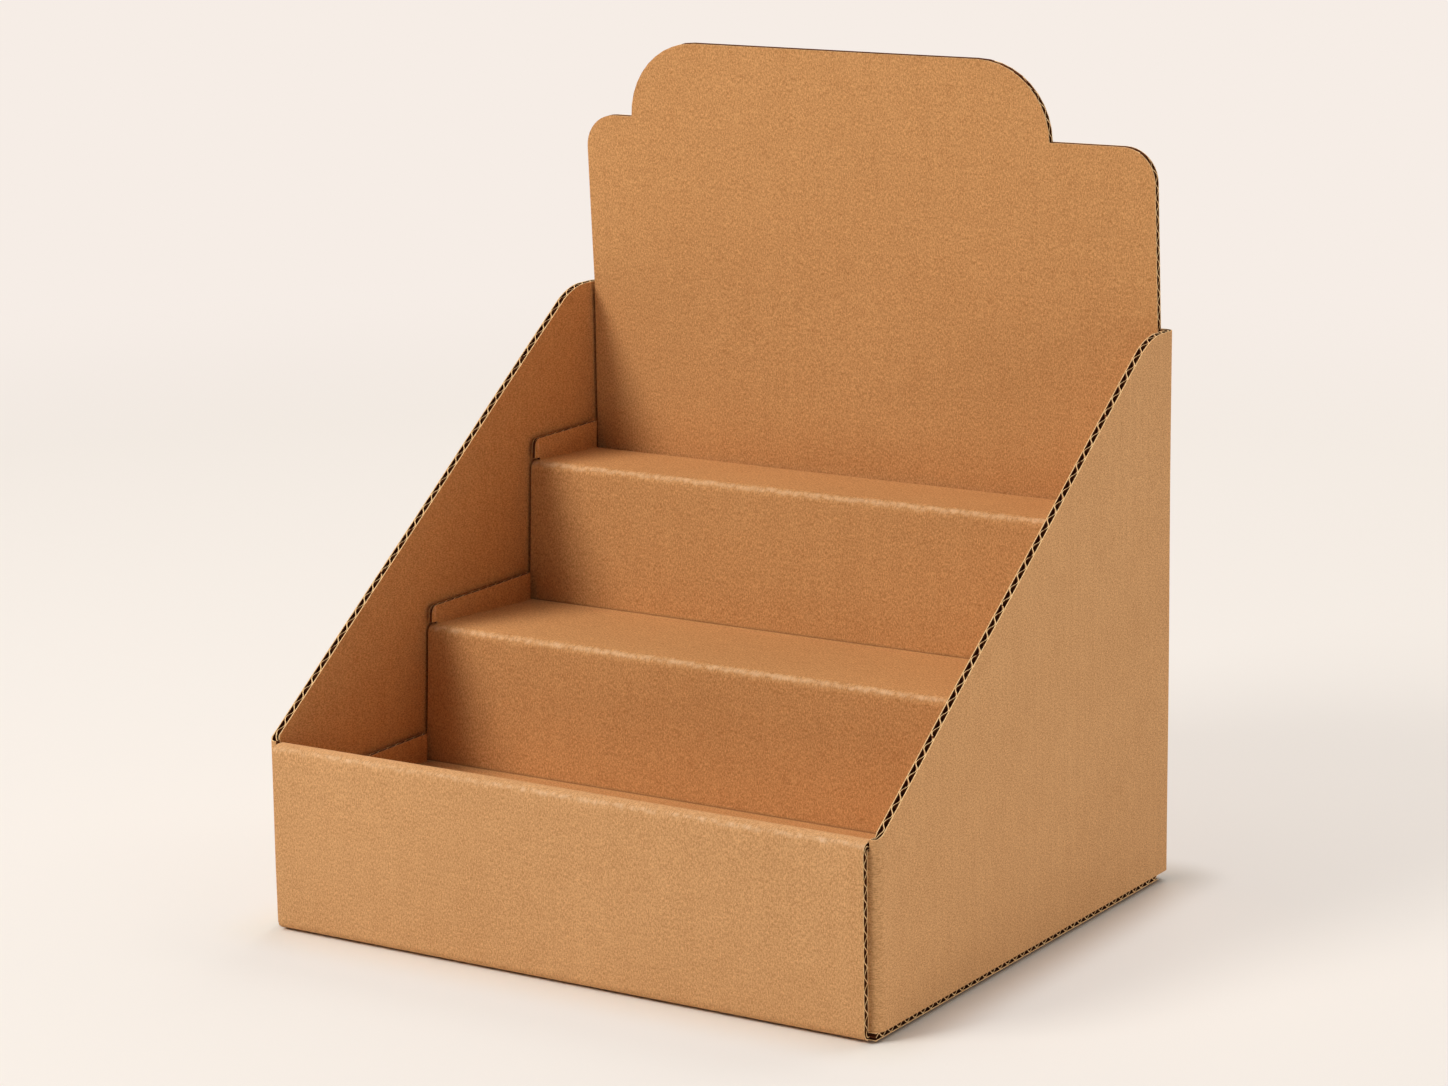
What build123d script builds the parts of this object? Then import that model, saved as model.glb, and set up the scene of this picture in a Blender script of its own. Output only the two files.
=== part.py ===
from build123d import *
import math
import os

# Corrugated tiered display box, in millimetres and degrees.
# Z is up, X runs across the box and the front panel faces -Y.
# The origin is on the floor, at the middle of the box's overall length and width.

# Driving dimensions of the whole box
width = 300.0
depth = 257.0
board = 3.5
bend = 0.5
liner = 0.4
medium = 0.4
flute_pitch = 6.4

# Driving dimensions of the main blank: front, base, back and header in one sheet
front_height = 81.0
header_lean = 2.9
header_height = 113.0
shoulder_drop = 34.6
shoulder_radius = 15.0
left_notch = -120.0
right_notch = 94.5
lock_tab_width = 40.0
lock_tab_spacing = 140.0

# Driving dimensions of the side walls
wall_front_height = 82.0
wall_rear_height = 244.0
slope_start = 1.6
slope_end = 22.6
toe_radius = 4.0
crest_radius = 30.0
tuck_flap_width = 50.0
glue_flap_width = 48.0
flap_taper = 9.0

# Driving dimensions of the stair insert
stair_tilt = 3.4
pocket_height = 48.2
lower_riser = 61.6
lower_tread = 79.4
upper_riser = 64.4
upper_tread = 53.6
flange_height = 12.8
flange_corner = 3.5

# Clearances
glue_line = 0.1
panel_clearance = 1.5
flange_clearance = 0.2
wall_footing = 1.5
leg_clearance = 0.5
tuck_clearance = 0.5
flange_setback = 3.0
tab_clearance = 0.4

# Places that follow from the sizes above
fold_radius = bend + board
wall_face = width / 2
wall_inner = wall_face - board
panel_edge = wall_inner - panel_clearance
base_edge = wall_inner + wall_footing
flange_face = wall_inner - flange_clearance

front_face = -depth / 2
tuck_face = front_face + board + glue_line
inner_panel_rear = tuck_face + 2 * board + glue_line
rear_face = depth / 2
back_panel_rear = rear_face - board - glue_line
back_panel_front = back_panel_rear - board


def turn(before, corner, after):
    """Signed turn of a path at a corner, in degrees, positive to the left."""
    first = math.atan2(corner[1] - before[1], corner[0] - before[0])
    second = math.atan2(after[1] - corner[1], after[0] - corner[0])
    return (math.degrees(second - first) + 180) % 360 - 180


def left_normal(start, end):
    """Unit vector to the left of the way from start to end."""
    length = math.hypot(end[0] - start[0], end[1] - start[1])
    return ((start[1] - end[1]) / length, (end[0] - start[0]) / length)


def offset_path(path, distance):
    """The same path moved to its left by a distance, with mitred corners."""
    normals = [left_normal(a, b) for a, b in zip(path, path[1:])]
    moved = []
    for i, point in enumerate(path):
        before = normals[max(i - 1, 0)]
        after = normals[min(i, len(normals) - 1)]
        reach = distance / (1 + before[0] * after[0] + before[1] * after[1])
        moved.append((point[0] + reach * (before[0] + after[0]), point[1] + reach * (before[1] + after[1])))
    return moved


def path_turns(path):
    """The turn at each inner point of a path."""
    return [turn(*path[i - 1 : i + 2]) for i in range(1, len(path) - 1)]


def flute_cells(start, end, first_trim=liner, last_trim=liner):
    """Open cells in one flat run, as triangles between the liners, on each side of the medium by turns."""
    length = math.dist(start, end)
    along = ((end[0] - start[0]) / length, (end[1] - start[1]) / length)
    inwards = left_normal(start, end)
    slope = math.atan2(board - 2 * liner, flute_pitch / 2)
    half_base = flute_pitch / 2 - medium / (2 * math.sin(slope))
    rise = half_base * math.tan(slope)
    flutes = int((length - first_trim - last_trim) / flute_pitch)
    spare = length - first_trim - last_trim - flutes * flute_pitch
    cells = []
    for i in range(1, 2 * flutes):
        centre = first_trim + spare / 2 + i * flute_pitch / 2
        corners = [(centre - half_base, liner), (centre + half_base, liner), (centre, liner + rise)]
        if i % 2 == 0:
            corners = [(run, board - deep) for run, deep in corners]
        placed = [
            (start[0] + run * along[0] + deep * inwards[0], start[1] + run * along[1] + deep * inwards[1])
            for run, deep in corners
        ]
        cells.append(Polyline(*placed, close=True))
    return cells


def folded_sheet(path, fluted_runs=()):
    """Section of one sheet to the left of a path, with round folds and with open flutes in the runs listed."""
    turns = path_turns(path)
    near = [fold_radius if t > 0 else bend for t in turns]
    far = [bend if t > 0 else fold_radius for t in turns]
    outline = path + offset_path(path, board)[::-1]
    radii = [0, *near, 0, 0, *far[::-1], 0]
    trims = [liner, *(r * math.tan(math.radians(abs(t)) / 2) for r, t in zip(near, turns)), liner]
    cells = []
    for i in fluted_runs:
        cells += flute_cells(path[i], path[i + 1], trims[i], trims[i + 1])
    return Face(FilletPolyline(*outline, radius=radii, close=True), cells)


def across(section, half_width):
    """A section drawn in Y and Z, as a sheet that reaches the same way to both sides."""
    face = Plane.YZ * section
    return extrude(face, amount=half_width, both=True)


def block(x_range, y_range, z_range):
    """A straight block between two values on each axis."""
    size = [high - low for low, high in (x_range, y_range, z_range)]
    middle = [(high + low) / 2 for low, high in (x_range, y_range, z_range)]
    return Pos(*middle) * Box(*size)


def header_outline():
    """The back panel's outline from the front: square shoulders with a round corner and a raised crown."""
    shoulder = wall_rear_height + header_height - shoulder_drop
    top = shoulder + shoulder_drop
    corner = shoulder_radius
    outline = [
        Line((-panel_edge, 0), (-panel_edge, shoulder - corner)),
        RadiusArc((-panel_edge, shoulder - corner), (-panel_edge + corner, shoulder), corner),
        Line((-panel_edge + corner, shoulder), (left_notch, shoulder)),
        RadiusArc((left_notch, shoulder), (left_notch + shoulder_drop, top), shoulder_drop),
        Line((left_notch + shoulder_drop, top), (right_notch - shoulder_drop, top)),
        RadiusArc((right_notch - shoulder_drop, top), (right_notch, shoulder), shoulder_drop),
        Line((right_notch, shoulder), (panel_edge - corner, shoulder)),
        RadiusArc((panel_edge - corner, shoulder), (panel_edge, shoulder - corner), corner),
        Line((panel_edge, shoulder - corner), (panel_edge, 0)),
        Line((panel_edge, 0), (-panel_edge, 0)),
    ]
    return make_face(outline)


def main_blank():
    """Inner front panel, roll-over, front panel, base, back panel and header, folded from one sheet."""
    header_top = wall_rear_height + header_height
    lean = header_height * math.tan(math.radians(header_lean))
    path = [
        (inner_panel_rear, board + tab_clearance),
        (inner_panel_rear, front_height),
        (front_face, front_height),
        (front_face, 0),
        (back_panel_rear, 0),
        (back_panel_rear, wall_rear_height),
        (back_panel_rear - lean, header_top),
    ]
    sheet = across(folded_sheet(path, fluted_runs=(2, 3, 4, 5)), base_edge)

    # The header is cut to its outline
    header_waste = block(
        (-panel_edge - board, panel_edge + board),
        (back_panel_rear - lean - 2 * board, rear_face),
        (wall_rear_height, header_top + board),
    )
    header_waste -= extrude(Plane.XZ * header_outline(), amount=depth, both=True)
    waste = [header_waste]

    # Only the base keeps its full width, under the side walls
    for side in (-1, 1):
        strip = sorted((side * panel_edge, side * (base_edge + board)))
        waste.append(block(strip, (front_face - board, tuck_face), (-board, header_top + board)))
        waste.append(block(strip, (back_panel_front - bend, rear_face), (-board, header_top + board)))
        waste.append(block(strip, (tuck_face, back_panel_front - bend), (board, header_top + board)))

    # Lock tabs on the inner front panel reach down into slots in the base
    panel = (inner_panel_rear - board, inner_panel_rear)
    tabs = []
    for side in (-1, 1):
        centre = side * lock_tab_spacing / 2
        half = lock_tab_width / 2
        slot_x = (centre - half - tab_clearance, centre + half + tab_clearance)
        slot_y = (panel[0] - tab_clearance, panel[1] + tab_clearance)
        waste.append(block(slot_x, slot_y, (-board, board + tab_clearance / 2)))
        tabs.append(block((centre - half, centre + half), panel, (tab_clearance, board + 2 * tab_clearance)))
    return sheet - waste + tabs


def wall_profile():
    """A side wall's outline from the side: low at the front, a straight slope, then a level top."""
    slope_foot = tuck_face + slope_start
    slope_top = rear_face - slope_end
    points = [
        (tuck_face, board),
        (tuck_face, wall_front_height),
        (slope_foot, wall_front_height),
        (slope_top, wall_rear_height),
        (rear_face, wall_rear_height),
        (rear_face, board),
    ]
    radii = [0, 0, toe_radius, crest_radius, 0, 0]
    return make_face(FilletPolyline(*points, radius=radii, close=True))


def flap_corner(x, z, inwards, upwards):
    """The waste beyond the tapered end of a flap, as a wedge through the box from front to rear."""
    corner = (x, z)
    along = (x - inwards * 2 * flap_taper, z)
    down = (x, z - upwards * flap_taper)
    return extrude(Plane.XZ * make_face(Polyline(corner, along, down, close=True)), amount=depth, both=True)


def side_wall():
    """The right side wall with its front tuck flap and its rear glue flap."""
    tuck_end = panel_edge - tuck_flap_width
    glue_end = panel_edge - glue_flap_width
    path = [
        (tuck_end, tuck_face),
        (wall_face, tuck_face),
        (wall_face, rear_face),
        (glue_end, rear_face),
    ]
    tuck_top = front_height - board - tuck_clearance
    sheet = Pos(0, 0, board) * extrude(folded_sheet(path, fluted_runs=(1, 2)), amount=wall_rear_height - board)
    sheet &= across(wall_profile(), wall_face)

    # The tuck flap goes in under the roll-over and stays clear of the fold at its foot
    flap_x = (tuck_end - board, panel_edge + panel_clearance / 2)
    flap_y = (front_face, tuck_face + board + bend)
    sheet -= block(flap_x, flap_y, (tuck_top, wall_rear_height))
    sheet -= block(flap_x, flap_y, (0, board + tuck_clearance))

    # Both flaps taper towards their free ends
    front_half = block((0, wall_face), (front_face, 0), (0, wall_rear_height))
    rear_half = block((0, wall_face), (0, rear_face), (0, wall_rear_height))
    for half, end, top in ((front_half, tuck_end, tuck_top), (rear_half, glue_end, wall_rear_height)):
        sheet -= flap_corner(end, top, -1, 1) & half
        sheet -= flap_corner(end, board, -1, -1) & half
    return sheet


def stair_path():
    """The stair's face in Y and Z, from the foot of the rear leg to the foot of the front leg."""
    tilt = math.radians(stair_tilt)
    cosine = math.cos(tilt)
    sine = math.sin(tilt)
    front_leg = inner_panel_rear + leg_clearance
    rear_leg = back_panel_front - leg_clearance
    run = (lower_tread + upper_tread) * cosine + (lower_riser + upper_riser) * sine
    pocket_rear = (rear_leg - run, pocket_height)
    lower_nose = (pocket_rear[0] + lower_riser * sine, pocket_rear[1] + lower_riser * cosine)
    lower_rear = (lower_nose[0] + lower_tread * cosine, lower_nose[1] - lower_tread * sine)
    upper_nose = (lower_rear[0] + upper_riser * sine, lower_rear[1] + upper_riser * cosine)
    upper_rear = (upper_nose[0] + upper_tread * cosine, upper_nose[1] - upper_tread * sine)
    pocket_nose = (front_leg, pocket_height + (pocket_rear[0] - front_leg) * math.tan(tilt))
    return [
        (rear_leg, board),
        upper_rear,
        upper_nose,
        lower_rear,
        lower_nose,
        pocket_rear,
        pocket_nose,
        (front_leg, board),
    ]


def flange(nose, rear):
    """The right-hand flange of one tread: folded up from its side edge, with a level top."""
    top = rear[1] + flange_height
    length = math.hypot(rear[0] - nose[0], rear[1] - nose[1])
    path = [
        (panel_edge - 2 * board, -board),
        (flange_face, -board),
        (flange_face, flange_height + board),
    ]
    along_tread = Plane(origin=(0, *rear), x_dir=(1, 0, 0), z_dir=(0, nose[0] - rear[0], nose[1] - rear[1]))
    strip = extrude(along_tread * folded_sheet(path), amount=length)
    fall = (rear[1] - nose[1]) / (rear[0] - nose[0])
    hinge = nose[0] + fold_radius
    end = rear[0] - flange_setback
    outline = [
        (nose[0], nose[1] + bend),
        (nose[0], top),
        (end, top),
        (end, rear[1] - 2 * board),
        (hinge, nose[1] + fall * fold_radius - 2 * board),
        (hinge, nose[1] + bend),
    ]
    profile = make_face(FilletPolyline(*outline, radius=[0, flange_corner, 0, 0, 0, 0], close=True))
    plate = strip & across(profile, wall_face)

    # The flutes stand upright in the flange and open at its top edge
    cells = flute_cells((flange_face, nose[0] + flange_corner), (flange_face, end))
    foot = nose[1] + board
    return plate - [Pos(0, 0, foot) * extrude(Face(cell), amount=flange_height) for cell in cells]


def stair_insert():
    """Legs, risers, treads and pocket floor folded from one sheet, flanged at both ends of each tread."""
    path = stair_path()
    sheet = across(folded_sheet(path), panel_edge)
    for rear, nose in (path[1:3], path[3:5], path[5:7]):
        right = flange(nose, rear)
        sheet += right
        sheet += mirror(right, about=Plane.YZ)
    return sheet


os.makedirs("parts", exist_ok=True)
right_wall = side_wall()
export_step(main_blank(), "parts/outer_blank.step")
export_step(right_wall, "parts/right_side_wall.step")
export_step(mirror(right_wall, about=Plane.YZ), "parts/left_side_wall.step")
export_step(stair_insert(), "parts/stair_insert.step")
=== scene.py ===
import math
import bmesh
import bpy
from mathutils import Matrix, Vector, noise


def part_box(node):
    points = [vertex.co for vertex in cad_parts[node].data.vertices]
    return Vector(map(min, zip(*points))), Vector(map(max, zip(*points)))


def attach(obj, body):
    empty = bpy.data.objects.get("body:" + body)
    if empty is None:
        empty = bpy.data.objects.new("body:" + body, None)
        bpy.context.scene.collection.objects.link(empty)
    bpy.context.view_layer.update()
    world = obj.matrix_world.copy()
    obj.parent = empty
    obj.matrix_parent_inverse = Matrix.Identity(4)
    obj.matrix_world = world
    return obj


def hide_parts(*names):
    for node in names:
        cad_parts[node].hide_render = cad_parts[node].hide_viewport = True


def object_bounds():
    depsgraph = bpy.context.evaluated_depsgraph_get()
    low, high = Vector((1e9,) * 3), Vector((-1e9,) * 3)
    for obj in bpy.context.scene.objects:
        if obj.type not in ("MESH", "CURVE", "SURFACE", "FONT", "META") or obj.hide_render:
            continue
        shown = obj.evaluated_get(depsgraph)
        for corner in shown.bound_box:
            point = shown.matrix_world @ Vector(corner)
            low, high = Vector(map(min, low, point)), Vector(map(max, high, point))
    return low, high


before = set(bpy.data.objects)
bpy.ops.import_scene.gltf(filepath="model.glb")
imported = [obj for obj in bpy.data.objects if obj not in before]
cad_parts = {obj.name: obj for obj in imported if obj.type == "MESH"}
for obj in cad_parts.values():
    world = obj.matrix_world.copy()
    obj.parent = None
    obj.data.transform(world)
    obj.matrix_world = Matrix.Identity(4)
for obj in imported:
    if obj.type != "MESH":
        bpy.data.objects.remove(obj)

mm = 0.001
tiny = 1e-6
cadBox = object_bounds()
print("frame loaded:", ", ".join(sorted(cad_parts)))


# Board that every blank is cut from

board = {
    "thickness": 3.5 * mm,
    "liner": 0.45 * mm,
    "medium": 0.44 * mm,
    "flutePitch": 6.4 * mm,
    "flutePoints": 8,         # points along one flute's wave
    "bend": 0.5 * mm,         # inside radius of a fold
    "foldPoints": 7,          # points round one fold
    "cornerPoints": 10,       # points round a cut corner
    "sharpTurn": 0.2,         # a fold that turns less, in radians, stays clean
    "smoothTurn": math.radians(38),
    "edgeOn": 0.3,            # a face is a cut edge if its normal has less than this across the board
    "crushReach": 4.0 * mm,   # how far from a fold the flutes are pressed flat
    "crushDepth": 0.55,
    # how far a fold's scuff and painted highlight reach, and how far a crease's painted shade reaches
    "scuffHighlightReach": 2.5 * mm,
    "creaseShadeReach": 2.6 * mm,
    "warpStep": 22 * mm,      # spacing of the points that let a panel bow
    "warpHeight": 0.4 * mm,
    "warpSize": 110 * mm,
    "warpFade": 30 * mm,      # height above the floor over which the bowing starts
    "warpSeed": 7,
    "sag": 0.8 * mm,          # the base rests on its middle, and its edges clear the floor by this
    "sagFade": 10 * mm,
}
foldRadius = board["bend"] + board["thickness"]
paperSlot = {"outer": 0, "inner": 1, "cutEdge": 2, "medium": 3}
noise.seed_set(board["warpSeed"])


# Blank cut flat: x is across the blank, y is along it and z is the depth into the board

def cornerTurn(before, corner, after):
    first = Vector(corner[:2]) - Vector(before[:2])
    second = Vector(after[:2]) - Vector(corner[:2])
    return abs(first.angle_signed(second))


def cutOutline(corners):
    # corners are (across, along, radius), and round corners are bevelled to their radius
    blank = bmesh.new()
    blank.faces.new([blank.verts.new((across, along, 0)) for across, along, _ in corners])
    for i, corner in enumerate(corners):
        if not corner[2]:
            continue
        turn = cornerTurn(corners[i - 1], corner, corners[(i + 1) % len(corners)])
        place = Vector((corner[0], corner[1], 0))
        picked = [v for v in blank.verts if (v.co - place).length < tiny]
        bmesh.ops.bevel(blank, geom=picked, offset=corner[2] * math.tan(turn / 2), offset_type="OFFSET",
                        affect="VERTICES", segments=board["cornerPoints"], profile=0.5, material=-1)
    return blank


def scoreLines(blank, axis, places):
    # cuts the blank's faces along straight lines across or along it
    normal = Vector((1, 0, 0)) if axis == 0 else Vector((0, 1, 0))
    for place in places:
        bmesh.ops.bisect_plane(blank, geom=blank.verts[:] + blank.edges[:] + blank.faces[:],
                               dist=tiny, plane_co=normal * place, plane_no=normal)


def spread(low, high, step):
    # evenly spaced places between two ends, both left out
    count = max(1, round((high - low) / step))
    return [low + (high - low) * i / count for i in range(1, count)]


# Path that the flat blank is folded along

def foldPath(points, scuffHighlights):
    # straight runs and folds of a sheet that lies to the left of the points, and how scuffed each fold
    # is, with a painted highlight along its outside
    runs = []
    place = 0
    trimBefore = 0
    for i, start in enumerate(points[:-1]):
        end = points[i + 1]
        way = (end - start).normalized()
        heading = math.atan2(way.y, way.x)
        turn, radius, trimAfter = 0, 0, 0
        if i + 2 < len(points):
            turn = -way.angle_signed(points[i + 2] - end)
            radius = foldRadius if turn > 0 else -board["bend"]
            trimAfter = abs(radius) * math.tan(abs(turn) / 2)
        length = (end - start).length - trimBefore - trimAfter
        runs.append({"from": place, "to": place + length, "start": start + way * trimBefore,
                     "heading": heading, "turn": 0, "radius": 0, "sharp": False})
        place += length
        if turn:
            arc = (board["bend"] + board["thickness"] / 2) * abs(turn)
            runs.append({"from": place, "to": place + arc, "start": end - way * trimAfter,
                         "heading": heading, "turn": turn, "radius": radius,
                         "sharp": abs(turn) > board["sharpTurn"], "scuffHighlight": scuffHighlights[i]})
            place += arc
        trimBefore = trimAfter
    return runs


def foldedPoint(runs, place, depth, held=None):
    # where a point of the flat blank goes in the plane of the path
    run = held or next((r for r in runs if place <= r["to"] + tiny), runs[-1])
    along = place - run["from"]
    if not run["turn"]:
        way = Vector((math.cos(run["heading"]), math.sin(run["heading"])))
        return run["start"] + way * along + Vector((-way.y, way.x)) * depth
    startLeft = Vector((-math.sin(run["heading"]), math.cos(run["heading"])))
    heading = run["heading"] + run["turn"] * along / (run["to"] - run["from"])
    left = Vector((-math.sin(heading), math.cos(heading)))
    return run["start"] + startLeft * run["radius"] - left * (run["radius"] - depth)


def foldPlaces(runs):
    # lines across the blank at each fold's ends, between them, and where its scuff and painted highlight
    # end
    places = []
    for run in runs:
        if run["sharp"]:
            step = (run["to"] - run["from"]) / board["foldPoints"]
            places += [run["from"] + step * i for i in range(board["foldPoints"] + 1)]
            middle = (run["from"] + run["to"]) / 2
            places += [middle - board["scuffHighlightReach"], middle + board["scuffHighlightReach"]]
        elif run["turn"]:
            places += [run["from"], run["to"]]
    return places


def foldNearness(runs, place):
    # 1 inside a sharp fold, falling to 0 where the flutes stand at full height again
    gaps = [max(run["from"] - place, place - run["to"], 0) for run in runs if run["sharp"]]
    return max(0.0, 1 - min(gaps) / board["crushReach"]) ** 2


def foldScuffHighlightShade(runs, place, depth):
    # up to 1 where the outside of a fold is scuffed and lightened with a painted highlight, down to -1
    # where painted shade darkens a crease on the sheet's face
    for run in runs:
        if not run["sharp"]:
            continue
        away = abs(place - (run["from"] + run["to"]) / 2)
        outward = depth if run["turn"] > 0 else board["thickness"] - depth
        onOuterLiner = outward < board["liner"] * 1.5
        if onOuterLiner and away < board["scuffHighlightReach"]:
            return run["scuffHighlight"] * (1 - away / board["scuffHighlightReach"])
        if run["turn"] < 0 and away < board["creaseShadeReach"]:
            return away / board["creaseShadeReach"] - 1
    return 0


# Layers of the board, made flat and then folded together

def mergeLayer(target, layer):
    mesh = bpy.data.meshes.new("layer")
    layer.to_mesh(mesh)
    layer.free()
    target.from_mesh(mesh)
    bpy.data.meshes.remove(mesh)


def linerLayer(blank, depth):
    # a liner is the blank with thickness, from this depth inwards
    layer = blank.copy()
    inside = 1 if depth < board["thickness"] / 2 else -1
    bmesh.ops.translate(layer, verts=layer.verts, vec=(0, 0, depth))
    made = bmesh.ops.extrude_face_region(layer, geom=layer.faces[:])
    raised = [v for v in made["geom"] if isinstance(v, bmesh.types.BMVert)]
    bmesh.ops.translate(layer, verts=raised, vec=(0, 0, board["liner"]))
    bmesh.ops.recalc_face_normals(layer, faces=layer.faces)
    for face in layer.faces:
        facing = face.normal.z * inside
        if abs(facing) < board["edgeOn"]:
            face.material_index = paperSlot["cutEdge"]
        # faces inside the board, between the liners, take the dark medium paper, which carries painted
        # shade for the flute cells
        elif facing > 0:
            face.material_index = paperSlot["medium"]
        else:
            face.material_index = paperSlot["outer"] if inside > 0 else paperSlot["inner"]
    return layer


def mediumLayer(blank, runs):
    # the fluted medium is the blank scored finely, waved along it and given its thickness
    layer = blank.copy()
    step = board["flutePitch"] / board["flutePoints"]
    low = min(v.co.y for v in layer.verts)
    high = max(v.co.y for v in layer.verts)
    scoreLines(layer, 1, [low + step * i for i in range(1, int((high - low) / step) + 1)])
    room = board["thickness"] / 2 - board["liner"] - board["medium"] / 2
    for vert in layer.verts:
        crush = board["crushDepth"] * foldNearness(runs, vert.co.y)
        wave = math.sin(2 * math.pi * vert.co.y / board["flutePitch"])
        vert.co.z = room * (1 - crush) * wave
    layer.normal_update()
    bmesh.ops.solidify(layer, geom=layer.faces[:], thickness=board["medium"])
    middle = (min(v.co.z for v in layer.verts) + max(v.co.z for v in layer.verts)) / 2
    bmesh.ops.translate(layer, verts=layer.verts, vec=(0, 0, board["thickness"] / 2 - middle))
    bmesh.ops.recalc_face_normals(layer, faces=layer.faces)
    for face in layer.faces:
        edgeOn = abs(face.normal.z) < board["edgeOn"]
        face.material_index = paperSlot["cutEdge"] if edgeOn else paperSlot["medium"]
    return layer


def bowed(point):
    # the slight bowing of real board, the same for all blanks so that lapped panels stay lapped
    drift = noise.noise_vector(point / board["warpSize"]) * board["warpHeight"]
    rise = min(1, max(0, point.z) / board["warpFade"])
    middle = max(0, 1 - (point.x / cadBox[1][0]) ** 2) * max(0, 1 - (point.y / cadBox[1][1]) ** 2)
    lift = board["sag"] * (1 - middle * max(0, 1 - point.z / board["sagFade"]))
    return point + drift * rise + Vector((0, 0, lift))


def foldBlank(name, blank, runs, lines, toSpace, flanges=None):
    # lines are the extra scores across the blank, and toSpace turns folded places into the box's frame
    extent = [min(v.co.y for v in blank.verts), max(v.co.y for v in blank.verts)]
    scoreLines(blank, 1, foldPlaces(runs) + lines["along"] + spread(*extent, board["warpStep"]))
    scoreLines(blank, 0, lines["across"])
    if flanges:
        slitFlanges(blank, flanges)

    sheet = bmesh.new()
    mergeLayer(sheet, linerLayer(blank, 0))
    mergeLayer(sheet, linerLayer(blank, board["thickness"] - board["liner"]))
    mergeLayer(sheet, mediumLayer(blank, runs))
    blank.free()

    flat = sheet.loops.layers.uv.new("flatBlank")
    # each point's fold scuff with its painted highlight, or the painted shade of a crease
    wearHighlightShade = sheet.verts.layers.float.new("foldWearHighlightShade")
    held = sheet.verts.layers.int.get("flange")
    for face in sheet.faces:
        face.smooth = True
        for loop in face.loops:
            loop[flat].uv = loop.vert.co.xy
    for vert in sheet.verts:
        across, place, depth = vert.co
        vert[wearHighlightShade] = foldScuffHighlightShade(runs, place, depth)
        run = None
        if held and vert[held] and abs(across) > flanges["start"] + tiny:
            run = runs[vert[held]]
            across, depth = foldFlange(across, depth, flanges["start"])
        vert.co = bowed(toSpace(across, foldedPoint(runs, place, depth, run)))
    bmesh.ops.recalc_face_normals(sheet, faces=sheet.faces)
    for edge in sheet.edges:
        edge.smooth = len(edge.link_faces) == 2 and edge.calc_face_angle(0) < board["smoothTurn"]

    mesh = bpy.data.meshes.new(name)
    sheet.to_mesh(mesh)
    sheet.free()
    piece = bpy.data.objects.new(name, mesh)
    bpy.context.scene.collection.objects.link(piece)
    print(name, "folded:", len(mesh.polygons), "faces")
    return piece


# Main blank: inner front panel, roll-over, front, base, back and header

outerBlank = {
    "frontHeight": 81 * mm,
    "headerLean": math.radians(2.9),
    "shoulderDrop": 34.6 * mm,
    "shoulderRadius": 15 * mm,
    "crownRound": 0.999,      # the crown's radius as a share of the drop, a hair short of the notch
    "leftNotch": -120 * mm,
    "rightNotch": 94.5 * mm,
    "panelClearance": 1.5 * mm,
    "tabWidth": 40 * mm,
    "tabSpacing": 140 * mm,
    "tabClearance": 0.4 * mm,
    "glueLine": 0.1 * mm,
    # how scuffed each fold is, which also sets the painted highlight on its outside
    "scuffHighlights": (0.5, 0.72, 0.4, 0.3, 0),   # at the two roll-over folds, front foot, rear foot and header
}
rightLow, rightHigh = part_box("right_side_wall")
blankLow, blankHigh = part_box("outer_blank")
stairLow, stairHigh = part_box("stair_insert")
panelEdge = rightHigh[0] - board["thickness"] - outerBlank["panelClearance"]
innerPanelRear = rightLow[1] + 2 * board["thickness"] + outerBlank["glueLine"]


def cutSlots(blank, across, along):
    # cuts a rectangle out of the blank between each two places across it
    scoreLines(blank, 1, along)
    scoreLines(blank, 0, across)
    waste = []
    for face in blank.faces:
        middle = face.calc_center_median()
        inSlot = any(low < middle.x < high for low, high in (across[:2], across[2:]))
        if inSlot and along[0] < middle.y < along[1]:
            waste.append(face)
    bmesh.ops.delete(blank, geom=waste, context="FACES")


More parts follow.
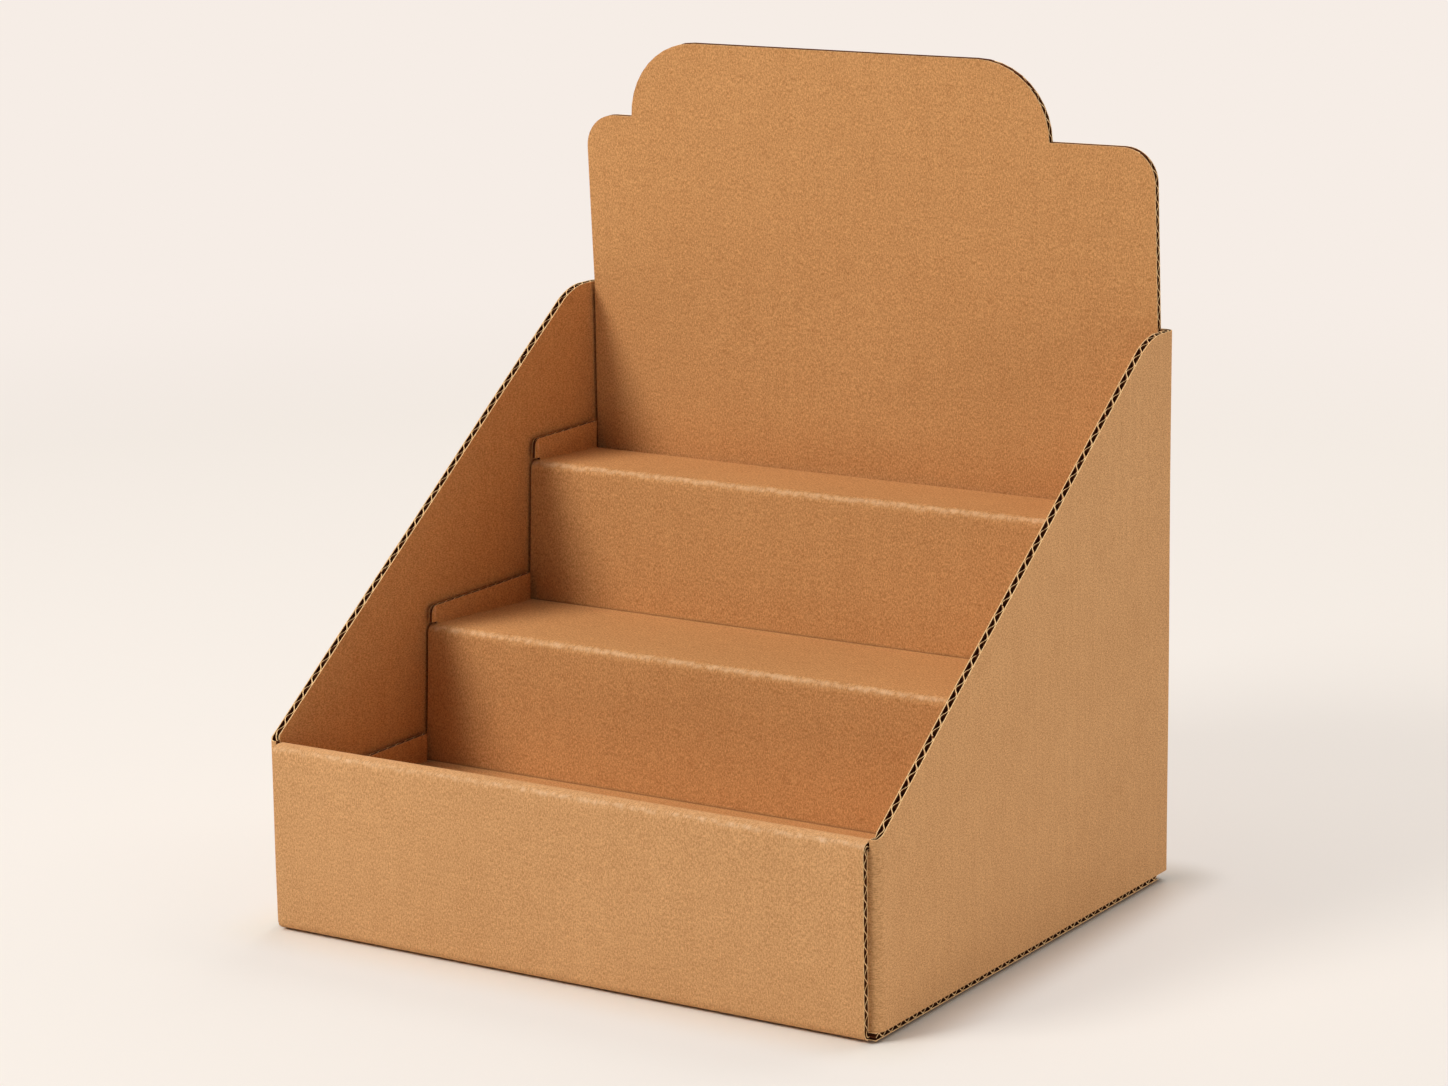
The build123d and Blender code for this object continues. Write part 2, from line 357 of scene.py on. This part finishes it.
def makeOuterBlank():
    s = outerBlank
    wallTop = rightHigh[2]
    headerTop = blankHigh[2]
    lean = (headerTop - wallTop) * math.tan(s["headerLean"])
    foot = board["thickness"] + s["tabClearance"]
    runs = foldPath([
        Vector((innerPanelRear, foot)),
        Vector((innerPanelRear, s["frontHeight"])),
        Vector((blankLow[1], s["frontHeight"])),
        Vector((blankLow[1], 0)),
        Vector((blankHigh[1], 0)),
        Vector((blankHigh[1], wallTop)),
        Vector((blankHigh[1] - lean, headerTop)),
    ], s["scuffHighlights"])
    base = runs[6]
    rear = (base["from"], base["to"])
    top = runs[-1]["to"]
    shoulder = top - s["shoulderDrop"] / math.cos(s["headerLean"])
    edge, wide = panelEdge, blankHigh[0]
    half, tabReach = s["tabWidth"] / 2, board["thickness"]
    crown = s["shoulderDrop"] * s["crownRound"]
    tabs = []
    for side in (-1, 1):
        centre = side * s["tabSpacing"] / 2
        tabs += [(centre - half, 0, 0), (centre - half, -tabReach, 0),
                 (centre + half, -tabReach, 0), (centre + half, 0, 0)]
    blank = cutOutline([
        (-edge, 0, 0), *tabs, (edge, 0, 0),
        (edge, rear[0], 0), (wide, rear[0], 0), (wide, rear[1], 0), (edge, rear[1], 0),
        (edge, shoulder, s["shoulderRadius"]), (s["rightNotch"], shoulder, 0),
        (s["rightNotch"], top, crown), (s["leftNotch"], top, crown),
        (s["leftNotch"], shoulder, 0), (-edge, shoulder, s["shoulderRadius"]),
        (-edge, rear[1], 0), (-wide, rear[1], 0), (-wide, rear[0], 0), (-edge, rear[0], 0),
    ])

    # slots in the base for the lock tabs
    slotMiddle = base["from"] + innerPanelRear - board["thickness"] / 2 - base["start"].x
    slotHalf = board["thickness"] / 2 + s["tabClearance"]
    slotEnds = [side * s["tabSpacing"] / 2 + end * (half + s["tabClearance"])
                for side in (-1, 1) for end in (-1, 1)]
    cutSlots(blank, slotEnds, [slotMiddle - slotHalf, slotMiddle + slotHalf])

    lines = {"along": [], "across": spread(-edge, edge, board["warpStep"])}
    return foldBlank("outerBlank", blank, runs, lines, lambda across, p: Vector((across, p.x, p.y)))


# Side walls, each with a tuck flap in the roll-over and a glue flap behind the back panel

sideWall = {
    "frontHeight": 82 * mm,
    "slopeStart": 1.6 * mm,
    "slopeEnd": 22.6 * mm,
    "crestRadius": 30 * mm,
    "tuckFlap": 50 * mm,
    "glueFlap": 48 * mm,
    "flapTaper": 9 * mm,
    "flapStep": 0.25 * mm,    # the tuck flap ends this far before its fold
    "tuckClearance": 0.5 * mm,
    # how scuffed each fold is, which also sets the painted highlight on its outside
    "scuffHighlights": (0.2, 0.2),
}


def makeSideWall(name, side):
    s = sideWall
    face, front, rear, top = rightHigh[0], rightLow[1], rightHigh[1], rightHigh[2]
    bottom = rightLow[2]
    runs = foldPath([
        Vector((panelEdge - s["tuckFlap"], front)),
        Vector((face, front)),
        Vector((face, rear)),
        Vector((panelEdge - s["glueFlap"], rear)),
    ], s["scuffHighlights"])
    end = runs[-1]["to"]
    wall = runs[2]
    slopeFoot = front + s["slopeStart"]
    slopeTop = rear - s["slopeEnd"]
    rise = (top - s["frontHeight"]) / (slopeTop - slopeFoot)
    step = runs[0]["to"] - s["flapStep"]
    tuckTop = outerBlank["frontHeight"] - board["thickness"] - s["tuckClearance"]
    tuckFoot = bottom + s["tuckClearance"]
    taper = s["flapTaper"]
    blank = cutOutline([
        (tuckFoot + taper, 0, 0), (tuckFoot, 2 * taper, 0), (tuckFoot, step, 0), (bottom, step, 0),
        (bottom, end - 2 * taper, 0), (bottom + taper, end, 0),
        (top - taper, end, 0), (top, end - 2 * taper, 0),
        (top, wall["from"] + slopeTop - wall["start"].y, s["crestRadius"]),
        (s["frontHeight"] + rise * (wall["start"].y - slopeFoot), wall["from"], 0),
        (s["frontHeight"], (wall["from"] + step) / 2, 0),
        (s["frontHeight"], step, 0), (tuckTop, step, 0), (tuckTop, 2 * taper, 0), (tuckTop - taper, 0, 0),
    ])
    lines = {"along": [], "across": spread(bottom, top, board["warpStep"])}
    return foldBlank(name, blank, runs, lines, lambda across, p: Vector((side * p.x, p.y, across)))


# Stair insert: legs, treads and risers, with a flange folded up at each end of a tread

stairInsert = {
    "tilt": math.radians(3.4),
    "pocketHeight": 48.2 * mm,
    "lowerRiser": 61.6 * mm,
    "lowerTread": 79.4 * mm,
    "upperRiser": 64.4 * mm,
    "upperTread": 53.6 * mm,
    "flangeHeight": 12.8 * mm,
    "flangeCorner": 3.5 * mm,
    "flangeSetback": 3.0 * mm,
    "slitMargin": 0.2 * mm,   # least distance from a flange's rear slit to the fold behind it
    "flangePoints": 5,        # points round a flange's fold
    "flangePress": 0.45,      # how much of its thickness a flange loses
    # how scuffed each fold is, which also sets the painted highlight on its outside
    "scuffHighlights": (0.3, 0.85, 0, 0.85, 0, 0.5),   # rear top, upper nose, foot, lower nose, foot, pocket nose
}


def foldFlange(across, depth, start):
    # folds the edge beyond the start up towards the sheet's face, where it is pressed thinner
    side = math.copysign(1, across)
    middle = board["bend"] + board["thickness"] / 2
    beyond = abs(across) - start
    if beyond <= 0:
        return across, depth
    angle = min(beyond / middle, math.pi / 2)
    rise = max(0.0, beyond - middle * math.pi / 2)
    press = stairInsert["flangePress"] * angle / (math.pi / 2)
    radius = board["bend"] + depth * (1 - press)
    return side * (start + radius * math.sin(angle)), radius * math.cos(angle) - board["bend"] - rise


def slitEdges(blank, place, start, end):
    # the blank's edges on one line across it, between start and end at both sides
    def onSlit(vert):
        return abs(vert.co.y - place) < tiny and start - tiny < abs(vert.co.x) < end + tiny

    return [edge for edge in blank.edges if all(onSlit(vert) for vert in edge.verts)]


def slitFlanges(blank, flanges):
    # frees the ends of each flange from the tread, and marks the flange's points with its run
    mark = blank.verts.layers.int.new("flange")
    start, free = flanges["start"], flanges["free"]
    bendStep = flanges["arc"] / stairInsert["flangePoints"]
    bends = [start + bendStep * i for i in range(stairInsert["flangePoints"] + 1)] + [free]
    scoreLines(blank, 0, [side * place for side in (-1, 1) for place in bends])
    for run, rearPlace, nosePlace, hingePlace in flanges["treads"]:
        for place in (rearPlace, hingePlace):
            bmesh.ops.split_edges(blank, edges=slitEdges(blank, place, start, free))
        for face in blank.faces:
            middle = face.calc_center_median()
            beside = abs(middle.x) > start and rearPlace < middle.y < nosePlace + tiny
            if beside and (middle.y < hingePlace or abs(middle.x) > start + flanges["arc"]):
                for vert in face.verts:
                    vert[mark] = run


def makeStairInsert():
    s = stairInsert
    cosine, sine = math.cos(s["tilt"]), math.sin(s["tilt"])
    frontLeg, rearLeg, foot = stairLow[1], stairHigh[1], stairLow[2]
    run = (s["lowerTread"] + s["upperTread"]) * cosine + (s["lowerRiser"] + s["upperRiser"]) * sine
    up = Vector((sine, cosine))
    back = Vector((cosine, -sine))
    pocketRear = Vector((rearLeg - run, s["pocketHeight"]))
    lowerNose = pocketRear + up * s["lowerRiser"]
    lowerRear = lowerNose + back * s["lowerTread"]
    upperNose = lowerRear + up * s["upperRiser"]
    upperRear = upperNose + back * s["upperTread"]
    pocketNose = pocketRear - back * ((pocketRear.x - frontLeg) / cosine)
    runs = foldPath([Vector((rearLeg, foot)), upperRear, upperNose, lowerRear, lowerNose,
                     pocketRear, pocketNose, Vector((frontLeg, foot))], s["scuffHighlights"])

    start = stairHigh[0] - foldRadius
    arc = (board["bend"] + board["thickness"] / 2) * math.pi / 2
    free = start + arc + board["bend"]
    treads = []
    edge = [(panelEdge, 0, 0)]
    # the upper tread, lower tread and pocket floor are runs 2, 6 and 10
    for number, rear in ((2, upperRear), (6, lowerRear), (10, pocketRear)):
        tread = runs[number]
        rearTrim = (tread["start"] - rear).length
        rearPlace = tread["from"] + max(s["flangeSetback"] - rearTrim, s["slitMargin"])
        nosePlace = tread["to"] + foldRadius
        top = rear.y + s["flangeHeight"]
        reach = [start + arc + (top - foldedPoint(runs, place, 0, tread).y) / cosine - board["bend"]
                 for place in (rearPlace, nosePlace)]
        edge += [(panelEdge, rearPlace, 0), (reach[0], rearPlace, 0),
                 (reach[1], nosePlace, s["flangeCorner"]), (free, nosePlace, 0),
                 (free, tread["to"], 0), (panelEdge, tread["to"], 0)]
        treads.append((number, rearPlace, nosePlace, tread["to"]))
    edge.append((panelEdge, runs[-1]["to"], 0))
    blank = cutOutline(edge + [(-across, place, radius) for across, place, radius in reversed(edge)])

    flanges = {"start": start, "arc": arc, "free": free, "treads": treads}
    lines = {"along": [t[1] for t in treads], "across": spread(-start, start, board["warpStep"])}
    return foldBlank("stairInsert", blank, runs, lines, lambda across, p: Vector((across, p.x, p.y)),
                     flanges)


# Materials

def linear(red, green, blue):
    # a colour given in display values from 0 to 255
    parts = [c / 255 for c in (red, green, blue)]
    return tuple(((c + 0.055) / 1.055) ** 2.4 if c > 0.04 else c / 12.92 for c in parts) + (1.0,)


def addNode(tree, kind, values=None, **settings):
    # a shader node with its settings and its own input values
    node = tree.nodes.new("ShaderNode" + kind)
    for name, value in settings.items():
        setattr(node, name, value)
    for name, value in (values or {}).items():
        node.inputs[name].default_value = value
    return node


# layers of noise in the paper: stretch is along x, y and z, and tone is how much the layer shows
grain = {
    "fibre": {"scale": 1900, "detail": 3, "rough": 0.6, "stretch": (1, 0.4, 1), "tone": 1.0},
    "speck": {"scale": 1300, "detail": 4, "rough": 0.8, "stretch": (1, 1, 1), "tone": 1.3},
    "cloud": {"scale": 110, "detail": 4, "rough": 0.6, "stretch": (1, 1, 1), "tone": 0.45},
    "broad": {"scale": 14, "detail": 2, "rough": 0.5, "stretch": (1, 1, 1), "tone": 0.35},
    "streak": {"scale": 260, "detail": 3, "rough": 0.6, "stretch": (1, 1, 0.04), "tone": 0.3},
}
washboard = {"tone": 0.02, "relief": 0.03 * mm}   # the flutes show through the liner as faint bands
fibreRelief = 0.04 * mm
speckRelief = 0.06 * mm


def kraftGroup():
    # paper fibre, clouding and flute shadow: a tone around 0.5 and a relief in metres
    group = bpy.data.node_groups.new("kraftPaper", "ShaderNodeTree")
    for name in ("Fleck", "Cloud", "Washboard"):
        socket = group.interface.new_socket(name=name, in_out="INPUT", socket_type="NodeSocketFloat")
        socket.default_value = 1.0
    for name in ("Tone", "Relief"):
        group.interface.new_socket(name=name, in_out="OUTPUT", socket_type="NodeSocketFloat")
    links = group.links
    given = group.nodes.new("NodeGroupInput")
    result = group.nodes.new("NodeGroupOutput")
    place = addNode(group, "TexCoord").outputs["Object"]
    flat = addNode(group, "UVMap", uv_map="flatBlank").outputs["UV"]

    def noiseLayer(look, source):
        if look["stretch"] != (1, 1, 1):
            mapping = addNode(group, "Mapping", {"Scale": look["stretch"]})
            links.new(source, mapping.inputs["Vector"])
            source = mapping.outputs[0]
        node = addNode(group, "TexNoise", {"Scale": look["scale"], "Detail": look["detail"],
                                           "Roughness": look["rough"]})
        links.new(source, node.inputs["Vector"])
        return node.outputs["Fac"]

    def maths(kind, first, second):
        node = addNode(group, "Math", operation=kind)
        for socket, value in zip(node.inputs, (first, second)):
            if isinstance(value, (int, float)):
                socket.default_value = value
            else:
                links.new(value, socket)
        return node.outputs[0]

    def weighted(names):
        total = 0.0
        for name in names:
            around = maths("SUBTRACT", layers[name], 0.5)
            total = maths("ADD", maths("MULTIPLY", around, grain[name]["tone"]), total)
        return total

    layers = {name: noiseLayer(look, flat if name == "fibre" else place) for name, look in grain.items()}
    split = addNode(group, "SeparateXYZ")
    links.new(flat, split.inputs[0])
    turns = maths("MULTIPLY", split.outputs["Y"], 2 * math.pi / board["flutePitch"])
    band = maths("MULTIPLY", maths("SINE", turns, 0), given.outputs["Washboard"])

    fleck = maths("MULTIPLY", weighted(("fibre", "speck")), given.outputs["Fleck"])
    clouds = maths("MULTIPLY", weighted(("cloud", "broad", "streak")), given.outputs["Cloud"])
    tone = maths("ADD", maths("ADD", fleck, clouds), maths("MULTIPLY", band, washboard["tone"]))
    links.new(maths("ADD", tone, 0.5), result.inputs["Tone"])
    relief = maths("ADD", maths("MULTIPLY", layers["fibre"], fibreRelief),
                   maths("MULTIPLY", layers["speck"], speckRelief))
    relief = maths("ADD", relief, maths("MULTIPLY", band, washboard["relief"]))
    links.new(relief, result.inputs["Relief"])
    return group


# each paper's worn colour is scuffed paper together with a painted highlight on the outside of folds
kraftOuter = {
    "dark": linear(184, 131, 80), "light": linear(233, 181, 127), "wornHighlight": linear(252, 220, 184),
    "rough": 0.84, "fleck": 1.0, "cloud": 0.3, "washboard": 0.25, "bump": 0.6,
}
# the inner liner's paper, a little darker and more orange than the outer as painted shade for the inside
# of the box
kraftInnerShaded = {
    "dark": linear(179, 123, 71), "light": linear(227, 171, 112), "wornHighlight": linear(250, 212, 170),
    "rough": 0.84, "fleck": 1.15, "cloud": 0.3, "washboard": 0.25, "bump": 0.6,
}
cutEdge = {
    "dark": linear(226, 168, 108), "light": linear(255, 222, 168), "wornHighlight": linear(255, 222, 168),
    "rough": 0.95, "fleck": 0.9, "cloud": 0.2, "washboard": 0.0, "bump": 0.8,
}
# the medium's own paper, darkened further with painted shade for the insides of the flute cells
fluteMediumShaded = {
    "dark": linear(82, 38, 16), "light": linear(122, 68, 32), "wornHighlight": linear(122, 68, 32),
    "rough": 0.95, "fleck": 0.5, "cloud": 0.2, "washboard": 0.0, "bump": 0.5,
}
# the ragged scuff line with its painted highlight, and the painted shade of creases
foldLook = {
    "ragged": 380,            # how fine the scuffed line's ragged edge is
    "raggedness": 1.1,
    "scuffHighlightFrom": 1.0,
    "scuffHighlightTo": 1.65,
    "scuffHighlightMost": 0.52,
    # painted shade that darkens the inside of concave folds
    "creaseShadeMost": 0.75,
    "creaseShadeColour": linear(96, 52, 20),
}
toneRange = (0.25, 0.75)      # tones of the darkest and lightest fibres
paperSheen = 0.25


def paperMaterial(name, look, group):
    material = bpy.data.materials.new(name)
    material.use_nodes = True
    tree = material.node_tree
    links = tree.links
    shader = tree.nodes["Principled BSDF"]
    shader.inputs["Roughness"].default_value = look["rough"]
    shader.inputs["Specular IOR Level"].default_value = paperSheen
    paper = tree.nodes.new("ShaderNodeGroup")
    paper.node_tree = group
    for socket in ("Fleck", "Cloud", "Washboard"):
        paper.inputs[socket].default_value = look[socket.lower()]
    ramp = addNode(tree, "ValToRGB")
    for stop, colour, position in zip(ramp.color_ramp.elements, ("dark", "light"), toneRange):
        stop.color = look[colour]
        stop.position = position
    links.new(paper.outputs["Tone"], ramp.inputs["Fac"])

    # outside a fold the paper is lighter in a ragged line, partly real scuffing and partly a painted
    # highlight, and inside it is darkened with painted shade in the crease
    wearHighlightShade = addNode(tree, "Attribute", attribute_name="foldWearHighlightShade").outputs["Fac"]
    ragged = addNode(tree, "TexNoise", {"Scale": foldLook["ragged"], "Detail": 4})
    uneven = addNode(tree, "Math", operation="MULTIPLY_ADD")
    uneven.inputs[1].default_value = foldLook["raggedness"]
    scuffHighlightMask = addNode(tree, "MapRange", {"From Min": foldLook["scuffHighlightFrom"], "From Max": foldLook["scuffHighlightTo"],
                                      "To Max": foldLook["scuffHighlightMost"]}, interpolation_type="SMOOTHSTEP")
    creaseShade = addNode(tree, "MapRange", {"From Max": -1, "To Max": foldLook["creaseShadeMost"]})
    wornHighlight = addNode(tree, "Mix", data_type="RGBA")
    wornHighlight.inputs["B"].default_value = look["wornHighlight"]
    shaded = addNode(tree, "Mix", data_type="RGBA")
    shaded.inputs["B"].default_value = foldLook["creaseShadeColour"]
    links.new(addNode(tree, "TexCoord").outputs["Object"], ragged.inputs["Vector"])
    links.new(ragged.outputs["Fac"], uneven.inputs[0])
    links.new(wearHighlightShade, uneven.inputs[2])
    links.new(uneven.outputs[0], scuffHighlightMask.inputs["Value"])
    links.new(wearHighlightShade, creaseShade.inputs["Value"])
    links.new(scuffHighlightMask.outputs["Result"], wornHighlight.inputs["Factor"])
    links.new(ramp.outputs["Color"], wornHighlight.inputs["A"])
    links.new(creaseShade.outputs["Result"], shaded.inputs["Factor"])
    links.new(wornHighlight.outputs["Result"], shaded.inputs["A"])
    links.new(shaded.outputs["Result"], shader.inputs["Base Color"])

    bump = addNode(tree, "Bump", {"Strength": look["bump"], "Distance": 1.0})
    links.new(paper.outputs["Relief"], bump.inputs["Height"])
    links.new(bump.outputs["Normal"], shader.inputs["Normal"])
    return material


paperGroup = kraftGroup()
outerPaper = paperMaterial("kraftOuter", kraftOuter, paperGroup)
innerPaperShaded = paperMaterial("kraftInnerShaded", kraftInnerShaded, paperGroup)
edgePaper = paperMaterial("cutEdge", cutEdge, paperGroup)
mediumPaperShaded = paperMaterial("fluteMediumShaded", fluteMediumShaded, paperGroup)
print("materials made")

# the stair shows its inner paper, whose darker tone is partly painted shade, and the other blanks their
# outer paper outside
for piece, node, facing in ((makeOuterBlank(), "outer_blank", outerPaper),
                            (makeSideWall("rightSideWall", 1), "right_side_wall", outerPaper),
                            (makeSideWall("leftSideWall", -1), "left_side_wall", outerPaper),
                            (makeStairInsert(), "stair_insert", innerPaperShaded)):
    for material in (facing, innerPaperShaded, edgePaper, mediumPaperShaded):
        piece.data.materials.append(material)
    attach(piece, "root")
    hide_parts(node)
print("blanks folded")


# Floor, light and camera

stage = {
    "size": 24.0,
    "floor": linear(243, 238, 230),
    "floorRough": 0.9,
    "floorSheen": 0.1,
    "glow": linear(246, 237, 230),
    "glowContact": 0.0,       # how much of the floor that the camera sees is its own pale colour:
    "glowNear": 0.58,         # at the box, near it and far away
    "glowFar": 1.0,
    "contactReach": (0.0, 0.03),
    "farReach": (0.25, 1.5),
    "ambient": 0.05,
    "ambientColour": (1.0, 0.985, 0.965, 1.0),
}
lamps = {
    "keyLamp": {"place": (-1.12, -1.62, 1.88), "size": (0.95, 0.95), "power": 45,
                "colour": (1.0, 0.97, 0.93)},
    "backLamp": {"place": (0.2, 2.1, 2.5), "size": (3.0, 2.0), "power": 60,
                 "colour": (1.0, 0.98, 0.96)},
    "topLamp": {"place": (-0.6, -0.4, 2.5), "size": (1.4, 1.4), "power": 16,
                "colour": (1.0, 0.98, 0.95)},
    "sideCard": {"place": (1.9, -0.05, 0.22), "size": (1.6, 0.3), "power": 9.5,
                 "colour": (1.0, 0.97, 0.93)},
}
target = (0, 0, 0.12)         # where the lamps point


def seenRays(tree):
    # 1 for what the camera sees straight, mirrored or through glass
    path = addNode(tree, "LightPath")
    seen = path.outputs["Is Camera Ray"]
    for name in ("Is Glossy Ray", "Is Transmission Ray"):
        either = addNode(tree, "Math", operation="MAXIMUM")
        tree.links.new(seen, either.inputs[0])
        tree.links.new(path.outputs[name], either.inputs[1])
        seen = either.outputs[0]
    return seen


def makeFloor():
    floor = bmesh.new()
    bmesh.ops.create_grid(floor, x_segments=1, y_segments=1, size=stage["size"] / 2)
    mesh = bpy.data.meshes.new("floor")
    floor.to_mesh(mesh)
    floor.free()
    plane = bpy.data.objects.new("floor", mesh)
    bpy.context.scene.collection.objects.link(plane)
    material = bpy.data.materials.new("paleFloor")
    material.use_nodes = True
    plane.data.materials.append(material)
    tree = material.node_tree
    links = tree.links
    shader = tree.nodes["Principled BSDF"]
    shader.inputs["Roughness"].default_value = stage["floorRough"]
    shader.inputs["Specular IOR Level"].default_value = stage["floorSheen"]
    shader.inputs["Base Color"].default_value = stage["floor"]
    glow = addNode(tree, "Emission", {"Color": stage["glow"], "Strength": 1})

    # distance from the box's footprint
    outward = addNode(tree, "TexCoord").outputs["Object"]
    for operation, value in (("ABSOLUTE", None), ("SUBTRACT", (cadBox[1][0], cadBox[1][1], 0)),
                             ("MAXIMUM", (0, 0, 0)), ("LENGTH", None)):
        step = addNode(tree, "VectorMath", operation=operation)
        links.new(outward, step.inputs[0])
        if value:
            step.inputs[1].default_value = value
        outward = step.outputs["Value" if operation == "LENGTH" else "Vector"]

    def fade(reach, shares):
        ramp = addNode(tree, "MapRange", {"From Min": reach[0], "From Max": reach[1], "To Min": shares[0],
                                          "To Max": shares[1]}, interpolation_type="SMOOTHSTEP")
        links.new(outward, ramp.inputs["Value"])
        return ramp.outputs["Result"]

    larger = addNode(tree, "Math", operation="MAXIMUM")
    links.new(fade(stage["contactReach"], (stage["glowContact"], stage["glowNear"])), larger.inputs[0])
    links.new(fade(stage["farReach"], (0, stage["glowFar"])), larger.inputs[1])
    share = addNode(tree, "Math", operation="MULTIPLY")
    links.new(seenRays(tree), share.inputs[0])
    links.new(larger.outputs[0], share.inputs[1])
    mix = addNode(tree, "MixShader")
    links.new(share.outputs[0], mix.inputs["Fac"])
    links.new(shader.outputs[0], mix.inputs[1])
    links.new(glow.outputs[0], mix.inputs[2])
    links.new(mix.outputs[0], tree.nodes["Material Output"].inputs["Surface"])


def makeLamp(name, look):
    lamp = bpy.data.lights.new(name, "AREA")
    lamp.shape = "RECTANGLE"
    lamp.size, lamp.size_y = look["size"]
    lamp.energy = look["power"]
    lamp.color = look["colour"]
    lampObject = bpy.data.objects.new(name, lamp)
    bpy.context.scene.collection.objects.link(lampObject)
    lampObject.location = look["place"]
    aim = Vector(target) - Vector(look["place"])
    lampObject.rotation_euler = aim.to_track_quat("-Z", "Y").to_euler()


def makeWorld():
    world = bpy.data.worlds.new("studio")
    bpy.context.scene.world = world
    world.use_nodes = True
    tree = world.node_tree
    links = tree.links
    ambient = tree.nodes["Background"]
    ambient.inputs["Color"].default_value = stage["ambientColour"]
    ambient.inputs["Strength"].default_value = stage["ambient"]
    backdrop = addNode(tree, "Background", {"Color": stage["glow"]})
    mix = addNode(tree, "MixShader")
    links.new(seenRays(tree), mix.inputs["Fac"])
    links.new(ambient.outputs[0], mix.inputs[1])
    links.new(backdrop.outputs[0], mix.inputs[2])
    links.new(mix.outputs[0], tree.nodes["World Output"].inputs["Surface"])


# angles in degrees, lens and sensor in millimetres
camera = {
    "place": (0.93552, -1.46739, 0.55090),
    "yaw": 32.48,
    "pitch": 12.656,
    "roll": -0.776,
    "lens": 104.1,
    "sensor": 36,
    "reach": 60,              # metres that the camera sees
}


def makeCamera():
    yaw, pitch, roll = (math.radians(camera[key]) for key in ("yaw", "pitch", "roll"))
    ahead = Vector((-math.sin(yaw) * math.cos(pitch), math.cos(yaw) * math.cos(pitch), -math.sin(pitch)))
    level = ahead.cross(Vector((0, 0, 1))).normalized()
    upright = level.cross(ahead)
    right = level * math.cos(roll) + upright * math.sin(roll)
    up = upright * math.cos(roll) - level * math.sin(roll)
    turned = Matrix((right, up, -ahead)).transposed().to_4x4()
    data = bpy.data.cameras.new("camera")
    data.lens = camera["lens"]
    data.sensor_width = camera["sensor"]
    data.clip_end = camera["reach"]
    view = bpy.data.objects.new("camera", data)
    bpy.context.scene.collection.objects.link(view)
    view.matrix_world = Matrix.Translation(camera["place"]) @ turned
    bpy.context.scene.camera = view


makeFloor()
makeWorld()
for lampName, lampLook in lamps.items():
    makeLamp(lampName, lampLook)
makeCamera()
bpy.context.scene.view_settings.view_transform = "Standard"
print("stage set")
